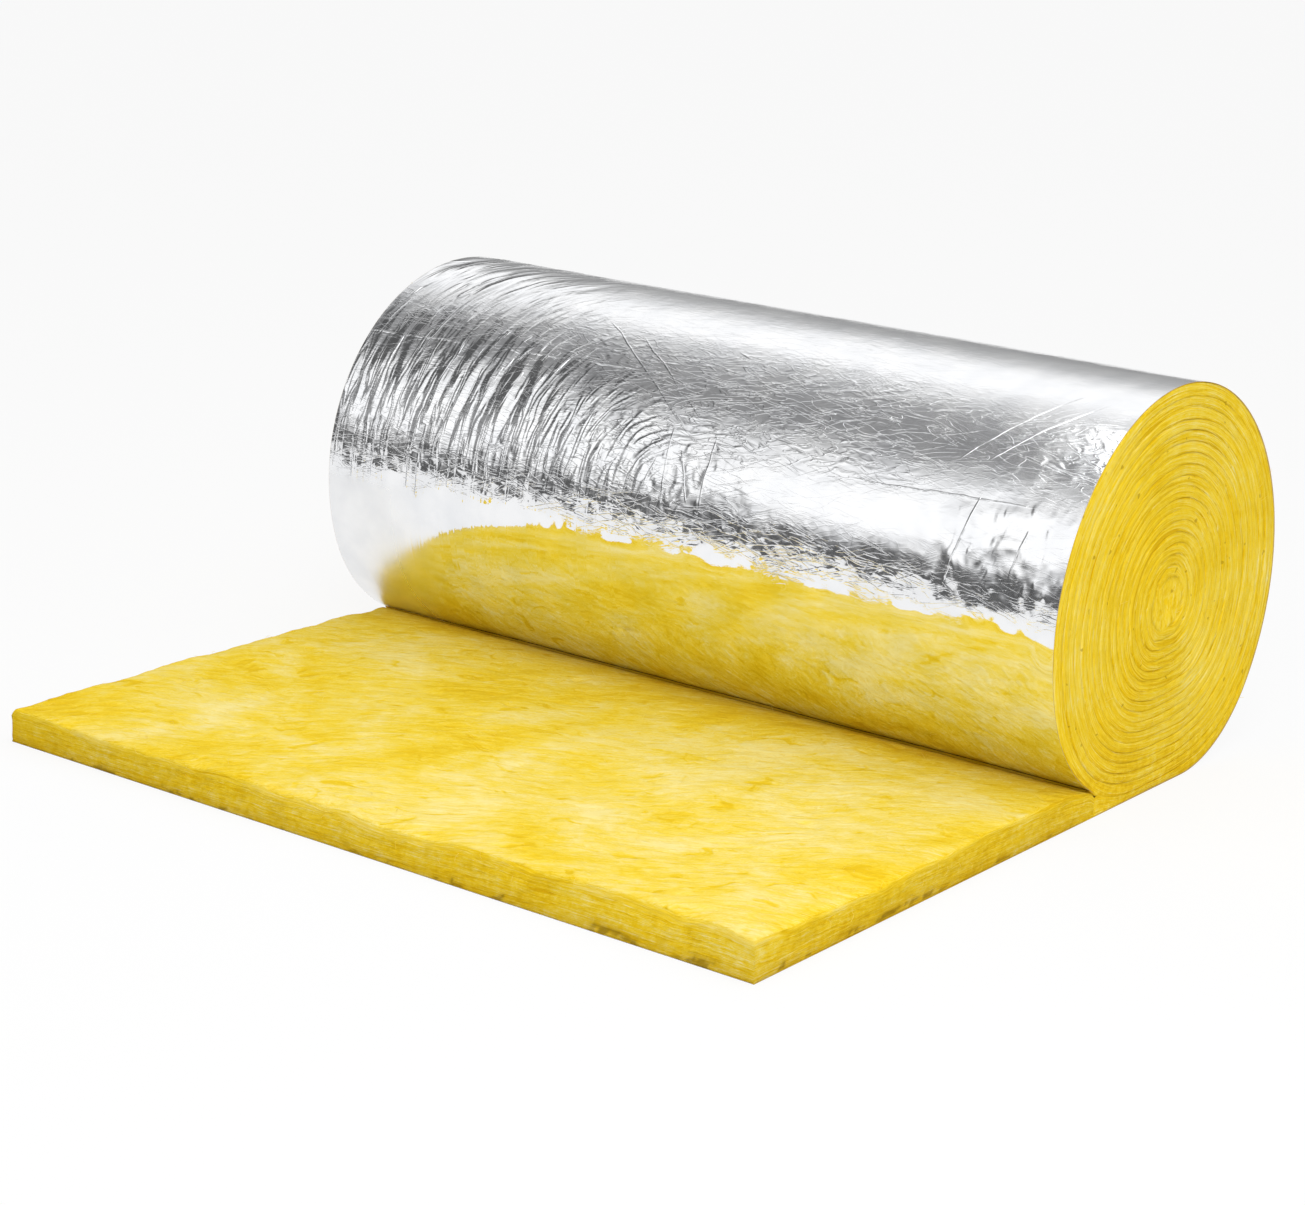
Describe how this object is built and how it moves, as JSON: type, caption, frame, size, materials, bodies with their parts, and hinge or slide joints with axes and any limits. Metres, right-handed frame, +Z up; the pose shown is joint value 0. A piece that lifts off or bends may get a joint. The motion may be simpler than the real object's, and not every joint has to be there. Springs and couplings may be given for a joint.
{
  "type": "insulation roll",
  "caption": "Roll of yellow glass wool insulation blanket with a foil facing, partly unrolled into a flat sheet on the floor.",
  "frame": {"origin": "on the floor, in the middle of the footprint of the roll and the laid sheet together", "axes": "+X along the roll, +Y from the free end of the laid sheet to the back of the roll, +Z up"},
  "size_m": [1.2, 1.164, 0.534],
  "materials": {
    "glass_wool": "matte fibrous wool",
    "foil": "bright wrinkled foil"
  },
  "bodies": {
    "root": {"wool_blanket": "glass_wool", "foil_facing": "foil"}
  },
  "joints": []
}
